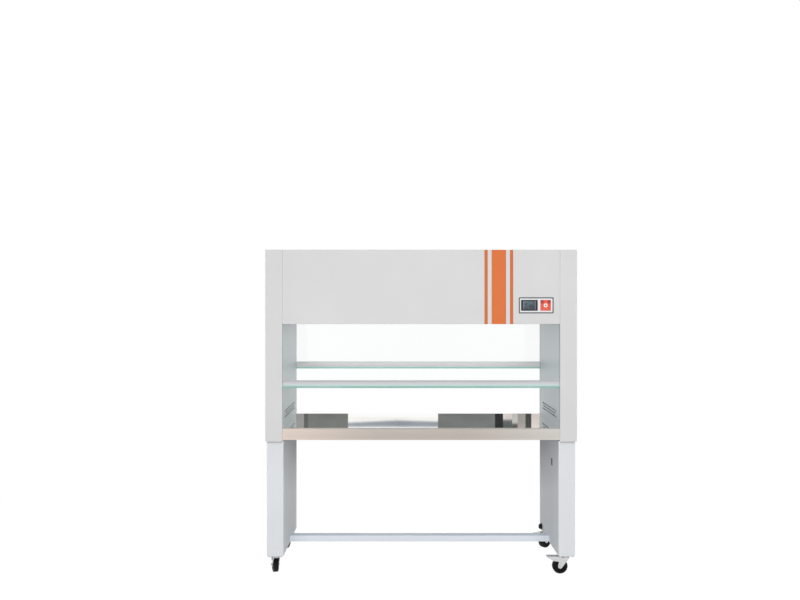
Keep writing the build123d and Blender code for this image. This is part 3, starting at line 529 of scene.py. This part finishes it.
slot_finish = {finish.name: finish for finish in (
    paint("hood_paint", HOOD),
    worktop_metal("worktop_steel"),
    steel("galvanised_steel", srgb(178, 181, 184), 0.42, "X", vary=0.12),
    paint("diffuser_white", srgb(228, 230, 230), rough=0.55),
    plastic("channel_dark", srgb(178, 185, 188), rough=0.5),
    clear_glass("sash_glass", srgb(254, 255, 255)),
    steel("fan_casing", srgb(176, 179, 182), 0.4, "Z", vary=0.12),
    steel("impeller_metal", srgb(196, 199, 202), 0.35, "X"),
    paint("motor_paint", srgb(52, 54, 58), rough=0.4, vary=0.08),
    steel("filter_frame", srgb(214, 216, 218), 0.38, "X", metallic=0.3),
    plastic("filter_felt", srgb(232, 233, 231), rough=0.9, vary=0.06, grain=260.0, depth=0.0006),
    plastic("lamp_glass", srgb(240, 243, 246), rough=0.12, vary=0.01),
    plastic("uv_glass", srgb(214, 224, 238), rough=0.08, vary=0.02),
    plastic("holder_plastic", srgb(232, 232, 228)),
    plastic("bezel_plastic", srgb(232, 232, 233), rough=0.3, vary=0.01),
    plastic("display_glass", srgb(18, 22, 27), rough=0.12, vary=0.1),
    mottled("keypad_orange", (srgb(228, 88, 52), srgb(234, 92, 76), srgb(234, 112, 108)), 70.0),
    plastic("key_dark_red", srgb(164, 60, 68), rough=0.42, vary=0.2),
    plastic("key_light_red", srgb(226, 98, 84), rough=0.42),
    rubber("switch_black", srgb(14, 13, 15)),
    plastic("rocker_red", srgb(128, 30, 26), rough=0.25),
    plastic("gland_plastic", srgb(16, 16, 18), rough=0.7),
    zinc("zinc_plate", srgb(206, 208, 210)),
    zinc("bolt_zinc", srgb(196, 197, 192), rough=0.3),
    rubber("wheel_black", srgb(15, 15, 16)),
)}

# The room inside the column shells, as distances from the middle. The shells' surfaces within it get painted shade.
COLUMN_ROOM = (
    ("X", "LESS_THAN", 0.7632), ("X", "GREATER_THAN", 0.6821), ("Y", "LESS_THAN", 0.3457),
    ("Z", "LESS_THAN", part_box("column_shell_left")[1].z - COLUMN_TOP_SKIN),
)
rail_low, rail_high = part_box("foot_rail")
leg = leg_finish("leg_paint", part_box("leg_right")[0].x + LEG_SKIN)
column = shaded_inside_paint("column_paint", HOOD, COLUMN_INSIDE_SHADE, COLUMN_ROOM)
wall = liner_steel("wall_steel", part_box("side_liner_right")[1].x - LINER_FLANGE)
node_finish = {
    "foot_rail": rail_finish("rail_paint", rail_low.z, rail_high.z),
    "leg_left": leg,
    "leg_right": leg,
    "column_shell_left": column,
    "column_shell_right": column,
    "side_liner_left": wall,
    "side_liner_right": wall,
    "centre_key": ringed_key("centre_key_face", key_low, key_high),
}
for side, stops in STRIP_TONES.items():
    strip_low, strip_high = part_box(side + "_sash_strip")
    node_finish[side + "_sash_strip"] = strip_finish(side + "_strip", strip_low.z, strip_high.z, stops)

slot_of = {part["node"]: part["material_slot"] for part in frame["record"]["subparts"]}
for name, thing in nodes.items():
    finish = node_finish.get(name) or slot_finish[slot_of[name]]
    thing.data.materials.clear()
    thing.data.materials.append(finish.material)


# Mesh helpers

CORNER_STEPS = 6


def add_object(name, bm, material):
    """Make an object from a bmesh and put it in the scene."""
    mesh = bpy.data.meshes.new(name)
    bm.to_mesh(mesh)
    bm.free()
    mesh.materials.append(material)
    thing = bpy.data.objects.new(name, mesh)
    bpy.context.scene.collection.objects.link(thing)
    return thing


def new_piece(name, bm, finish, body):
    """Make a piece of the hood from a bmesh, with its finish and body."""
    bmesh.ops.recalc_face_normals(bm, faces=bm.faces)
    piece = add_object(name, bm, finish.material)
    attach(piece, body)
    return piece


def rounded_loop(cx, cz, half_x, half_z, radius):
    """Points of a rounded rectangle in the X Z plane, anticlockwise."""
    points = []
    for quarter, (sx, sz) in enumerate(((1, 1), (-1, 1), (-1, -1), (1, -1))):
        for step in range(CORNER_STEPS + 1):
            turn = math.radians(90 * quarter + 90 * step / CORNER_STEPS)
            points.append((
                cx + sx * (half_x - radius) + radius * math.cos(turn),
                cz + sz * (half_z - radius) + radius * math.sin(turn),
            ))
    return points


def loft(bm, rings, closed=True):
    """Join rings of points, each with as many points, into a skin. Returns the rings' vertices."""
    made = [[bm.verts.new(point) for point in ring] for ring in rings]
    for a, b in zip(made, made[1:]):
        count = len(a)
        for i in range(count if closed else count - 1):
            j = (i + 1) % count
            bm.faces.new((a[i], a[j], b[j], b[i]))
    return made


def bar(name, low, high, finish, body, bevel):
    """A long straight piece between two corners, with its edges rounded."""
    bm = bmesh.new()
    bmesh.ops.create_cube(bm, size=1.0)
    size = [high[i] - low[i] for i in range(3)]
    middle = [(high[i] + low[i]) / 2 for i in range(3)]
    for vert in bm.verts:
        vert.co = Vector([middle[i] + vert.co[i] * size[i] for i in range(3)])
    bmesh.ops.bevel(bm, geom=bm.edges[:], offset=bevel, segments=2, profile=0.5, affect="EDGES")
    piece = new_piece(name, bm, finish, body)
    faces_by_area = sorted(piece.data.polygons, key=lambda face: face.area)
    for rounding in faces_by_area[:-6]:
        rounding.use_smooth = True
    return piece


# Sash panes, with the green of the glass along their lower edges

PANE_GREENS = {
    "front": (srgb(150, 203, 190), srgb(180, 221, 212)),
    "rear": (srgb(150, 222, 204), srgb(172, 232, 218)),
}
PANE_SKIN = 0.0002
PANE_BEVEL = 0.0006
EDGE_HEIGHT = 0.0085
EDGE_BEVEL = 0.0008
EDGE_GAP = 0.0001
for side, greens in PANE_GREENS.items():
    low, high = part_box(side + "_sash_glass")
    body = side + "_sash"
    split = low.z + EDGE_HEIGHT
    near, far = low.y + PANE_SKIN, high.y - PANE_SKIN
    pane = bar(
        side + "_pane", (low.x, near, split), (high.x, far, high.z),
        slot_finish["sash_glass"], body, PANE_BEVEL,
    )
    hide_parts(side + "_sash_glass")
    bar(
        side + "_pane_edge", (low.x, near, low.z), (high.x, far, split - EDGE_GAP),
        edge_glass(side + "_green_edge", *greens), body, EDGE_BEVEL,
    )


# Film stripes on the front panel

panel_low, panel_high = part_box("front_panel")
wide_film = paint("wide_film", srgb(221, 121, 71), rough=0.38, vary=0.015)
thin_film = paint("thin_film", srgb(210, 116, 70), rough=0.38, vary=0.015)
FILM = 0.00012
FILM_CORE = 0.8
FOLD_RADIUS = 0.0025
FOLD_STEPS = 6
FOLD_RETURN = 0.006
STRIPE_TOP_GAP = 0.0006
STRIPE_COLUMNS = 8
STRIPES = (
    ("stripe_left", 0.3105, 0.3265, thin_film),
    ("stripe_middle", 0.3455, 0.4165, wide_film),
    ("stripe_right", 0.4355, 0.4515, thin_film),
)


def stripe(name, left, right, film):
    """A strip of coloured film that follows the panel down and round its lower fold."""
    face = panel_low.y
    foot = panel_low.z
    fold_y, fold_z = face + FOLD_RADIUS, foot + FOLD_RADIUS
    reach = FOLD_RADIUS + FILM
    path = [(face - FILM, panel_high.z - STRIPE_TOP_GAP), (face - FILM, fold_z)]
    for step in range(1, FOLD_STEPS + 1):
        turn = math.radians(90 * step / FOLD_STEPS)
        path.append((fold_y - reach * math.cos(turn), fold_z - reach * math.sin(turn)))
    path.append((face + FOLD_RETURN, foot - FILM))
    across = [left + (right - left) * i / STRIPE_COLUMNS for i in range(STRIPE_COLUMNS + 1)]
    bm = bmesh.new()
    loft(bm, [[(x, y, z) for x in across] for y, z in path], closed=False)
    piece = new_piece(name, bm, film, "bench")
    thick = piece.modifiers.new("film", "SOLIDIFY")
    thick.thickness = FILM * FILM_CORE
    thick.offset = 0.0


for stripe_name, stripe_left, stripe_right, stripe_film in STRIPES:
    stripe(stripe_name, stripe_left, stripe_right, stripe_film)


# Rim and printed outline of the control plate

plate_low, plate_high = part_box("control_plate")
PLATE_SINK = 0.0001
RIM_PROUD = 0.0002
OUTLINE_PROUD = 0.0003
half_plate_x = (plate_high.x - plate_low.x) / 2
half_plate_z = (plate_high.z - plate_low.z) / 2

# Half width, half height and corner radius
RIM_OUTER = (half_plate_x - 0.0003, half_plate_z - 0.0003, 0.0028)
OUTLINE_OUTER = (half_plate_x - 0.0030, half_plate_z - 0.0020, 0.0055)
OUTLINE_INNER = (half_plate_x - 0.0090, half_plate_z - 0.0080, 0.0030)


def plate_ring(name, outer, inner, proud, finish):
    """A ring between two rounded rectangles on the control plate, a little proud of its face."""
    middle = ((plate_low.x + plate_high.x) / 2, (plate_low.z + plate_high.z) / 2)
    foot = plate_low.y + PLATE_SINK
    face = plate_low.y - proud
    bm = bmesh.new()
    loft(bm, [
        [(x, y, z) for x, z in rounded_loop(*middle, *shape)]
        for shape, y in ((outer, foot), (outer, face), (inner, face), (inner, foot))
    ])
    new_piece(name, bm, finish, "bench")


outline_grey = plastic("outline_grey", srgb(92, 95, 100), rough=0.4)
plate_ring("plate_rim", RIM_OUTER, OUTLINE_OUTER, RIM_PROUD, slot_finish["hood_paint"])
plate_ring("plate_outline", OUTLINE_OUTER, OUTLINE_INNER, OUTLINE_PROUD, outline_grey)


# Face of the display

screen_low, screen_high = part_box("display_window")

# Half width, half height, corner radius, and place behind the display window's front
SCREEN_LOOPS = ((0.0315, 0.0215, 0.0015, 0.0001), (0.0305, 0.0205, 0.0010, -0.00015))


def screen():
    """The display's face, a thin plate with a sloping edge."""
    middle = ((screen_low.x + screen_high.x) / 2, (screen_low.z + screen_high.z) / 2)
    bm = bmesh.new()
    rings = loft(bm, [
        [(x, screen_low.y + back, z) for x, z in rounded_loop(*middle, half_x, half_z, radius)]
        for half_x, half_z, radius, back in SCREEN_LOOPS
    ])
    bm.faces.new(rings[-1])
    new_piece("screen_face", bm, screen_finish("screen_face", screen_low, screen_high), "bench")


screen()


# Dot in the middle of the centre key

# Radius, and depth behind the key's front
DOT_RINGS = ((0.00350, 0.00035), (0.00288, 0.00022), (0.00126, 0.00016))
DOT_SIDES = 24


def key_dot():
    """The dark dot, a shallow dome."""
    middle_x = (key_low.x + key_high.x) / 2
    middle_z = (key_low.z + key_high.z) / 2
    turns = [math.radians(360 * step / DOT_SIDES) for step in range(DOT_SIDES)]
    bm = bmesh.new()
    rings = loft(bm, [
        [(middle_x + radius * math.cos(turn), key_low.y + depth, middle_z + radius * math.sin(turn)) for turn in turns]
        for radius, depth in DOT_RINGS
    ])
    bm.faces.new(rings[-1])
    new_piece("centre_key_dot", bm, plastic("dot_dark", srgb(58, 46, 50), rough=0.3), "centre_key")


key_dot()


# Studio

WORLD_LIGHT = 0.22
FLOOR_SHADE = grey(0.62)
FLOOR_NEAR = 1.2
FLOOR_FAR = 3.2
FLOOR_HALF = 30.0
FLOOR_CELLS = 8

# How strongly the floor glows near the hood, and how much of what the camera sees there is that glow
FLOOR_GLOW = 1.24
FLOOR_GLOW_SHARE = 0.75


def studio_world():
    """White to the camera, in gloss and through glass, and dimmer as a light."""
    world = bpy.data.worlds.new("studio")
    bpy.context.scene.world = world
    n = Graph(world)
    lit = n.add("ShaderNodeBackground", {"Color": WHITE, "Strength": WORLD_LIGHT}).outputs[0]
    seen = n.add("ShaderNodeBackground", {"Color": WHITE, "Strength": 1.0}).outputs[0]
    n.add("ShaderNodeOutputWorld", {"Surface": n.mix_shaders(n.ray_share(), lit, seen)})


def studio_floor():
    """A white floor whose glow hides all but a trace of the shadows, and that ends in plain white."""
    bm = bmesh.new()
    bmesh.ops.create_grid(bm, x_segments=FLOOR_CELLS, y_segments=FLOOR_CELLS, size=FLOOR_HALF)
    material = bpy.data.materials.new("floor_white")
    n = Graph(material)
    reach = n.vector("LENGTH", n.place())["Value"]
    glow_share = n.span(reach, FLOOR_GLOW_SHARE, 1.0, start=FLOOR_NEAR, end=FLOOR_FAR)
    strength = n.span(reach, FLOOR_GLOW, 1.0, start=FLOOR_NEAR, end=FLOOR_FAR)
    matt = n.add("ShaderNodeBsdfDiffuse", {"Color": FLOOR_SHADE}).outputs[0]
    glow = n.add("ShaderNodeEmission", {"Color": WHITE, "Strength": strength}).outputs[0]
    share = n.math("MULTIPLY", n.ray_share(), glow_share)
    n.add("ShaderNodeOutputMaterial", {"Surface": n.mix_shaders(share, matt, glow)})
    floor = add_object("floor", bm, material)


def hide_from(thing, *rays):
    """Keep an object out of what some kinds of rays see."""
    for ray in rays:
        setattr(thing, "visible_" + ray, False)


# Studio cards, in a plane behind the bench. The polished worktop mirrors them.
CARD_DEPTH = 3.0
CARD_FOOT = 0.90
CARD_CROWN = 1.30


def upright(left, right, foot=CARD_FOOT, crown=CARD_CROWN):
    """The outline of a plain upright card."""
    return ((left, foot), (right, foot), (right, crown), (left, crown))


CARD_MIDDLE = ((-0.524, 1.091), (-0.117, 1.071), (0.223, 1.082), (0.223, 1.128), (-0.524, 1.126))
CARDS = (
    ("card_far_left", upright(-0.98, -0.890), (151, 152, 150)),
    ("card_left_line", upright(-0.890, -0.856), (98, 100, 98)),
    ("card_left", upright(-0.856, -0.524), (120, 123, 119)),
    ("card_cream", upright(-0.524, 0.223, 1.050, 1.060), (252, 242, 229)),
    ("card_middle", CARD_MIDDLE, (141, 148, 156)),
    ("card_right", upright(0.223, 0.696), (119, 122, 120)),
    ("card_right_line", upright(0.696, 0.763), (52, 52, 54)),
    ("card_step_light", upright(0.763, 0.838, CARD_FOOT, 1.066), (231, 222, 218)),
    ("card_step_dark", upright(0.763, 0.838, 1.066, CARD_CROWN), (96, 101, 101)),
    ("card_block_light", upright(0.838, 0.884, CARD_FOOT, 1.098), (204, 201, 197)),
    ("card_block_dark", upright(0.838, 0.884, 1.098, CARD_CROWN), (84, 85, 84)),
    ("card_block_warm", upright(0.884, 0.949), (166, 160, 156)),
    ("card_far_line", upright(0.949, 0.998), (76, 78, 76)),
    ("card_far_right", upright(0.998, 1.090), (221, 212, 207)),
)


def card(name, outline, shade):
    """A glowing card that only gloss sees, as the polished worktop does."""
    bm = bmesh.new()
    bm.faces.new([bm.verts.new((x, CARD_DEPTH, z)) for x, z in outline])
    material = bpy.data.materials.new(name)
    n = Graph(material)
    color = n.drift(n.noise(4.0, detail=3.0, stretch=(1.0, 1.0, 3.0)), shade, 0.84, 1.12)
    glow = n.add("ShaderNodeEmission", {"Color": color}).outputs[0]
    n.add("ShaderNodeOutputMaterial", {"Surface": glow})
    thing = add_object(name, bm, material)
    hide_from(thing, "camera", "diffuse", "transmission", "shadow")


# Lamps: name, place, aim, width, height and power
LAMPS = (
    ("key_lamp", (-0.9, -6.2, 2.4), (0.0, -0.3, 0.9), 3.2, 2.2, 154.0),
    ("fill_lamp", (1.3, -6.0, 2.1), (0.0, -0.3, 0.9), 2.8, 2.0, 95.0),
    ("back_lamp", (0.0, 6.2, 2.2), (0.0, 0.3, 0.9), 1.4, 2.0, 134.0),
    ("left_lamp", (-5.0, 0.0, 1.3), (0.0, 0.0, 0.9), 1.6, 2.4, 76.0),
    ("right_lamp", (5.0, 0.0, 1.3), (0.0, 0.0, 0.9), 1.6, 2.4, 76.0),
    ("top_lamp", (0.0, 0.0, 4.2), (0.0, 0.0, 0.0), 4.5, 3.0, 31.0),
)


def lamp(name, place, aim, width, height, power):
    """A rectangular lamp turned to a point, and kept out of gloss, glass and the picture."""
    data = bpy.data.lights.new(name, "AREA")
    data.shape = "RECTANGLE"
    data.size = width
    data.size_y = height
    data.energy = power
    thing = bpy.data.objects.new(name, data)
    bpy.context.scene.collection.objects.link(thing)
    thing.location = place
    thing.rotation_euler = (Vector(aim) - Vector(place)).to_track_quat("-Z", "Y").to_euler()
    hide_from(thing, "glossy", "transmission", "camera")


studio_world()
studio_floor()
for name, outline, shade in CARDS:
    card(name, outline, srgb(*shade))
for name, *settings in LAMPS:
    lamp(name, *settings)

# Camera
camera_data = bpy.data.cameras.new("camera")
camera_data.sensor_width = SENSOR
camera_data.lens = FOCAL_PIXELS * SENSOR / PICTURE[0]
camera_data.shift_x = (PICTURE[0] / 2 - PRINCIPAL_POINT[0]) / PICTURE[0]
camera_data.shift_y = (PRINCIPAL_POINT[1] - PICTURE[1] / 2) / PICTURE[0]
camera = bpy.data.objects.new("camera", camera_data)
camera.location = CAMERA_PLACE
camera.rotation_euler = (math.radians(90), 0.0, 0.0)
bpy.context.scene.collection.objects.link(camera)
bpy.context.scene.camera = camera
bpy.context.scene.view_settings.view_transform = "Standard"
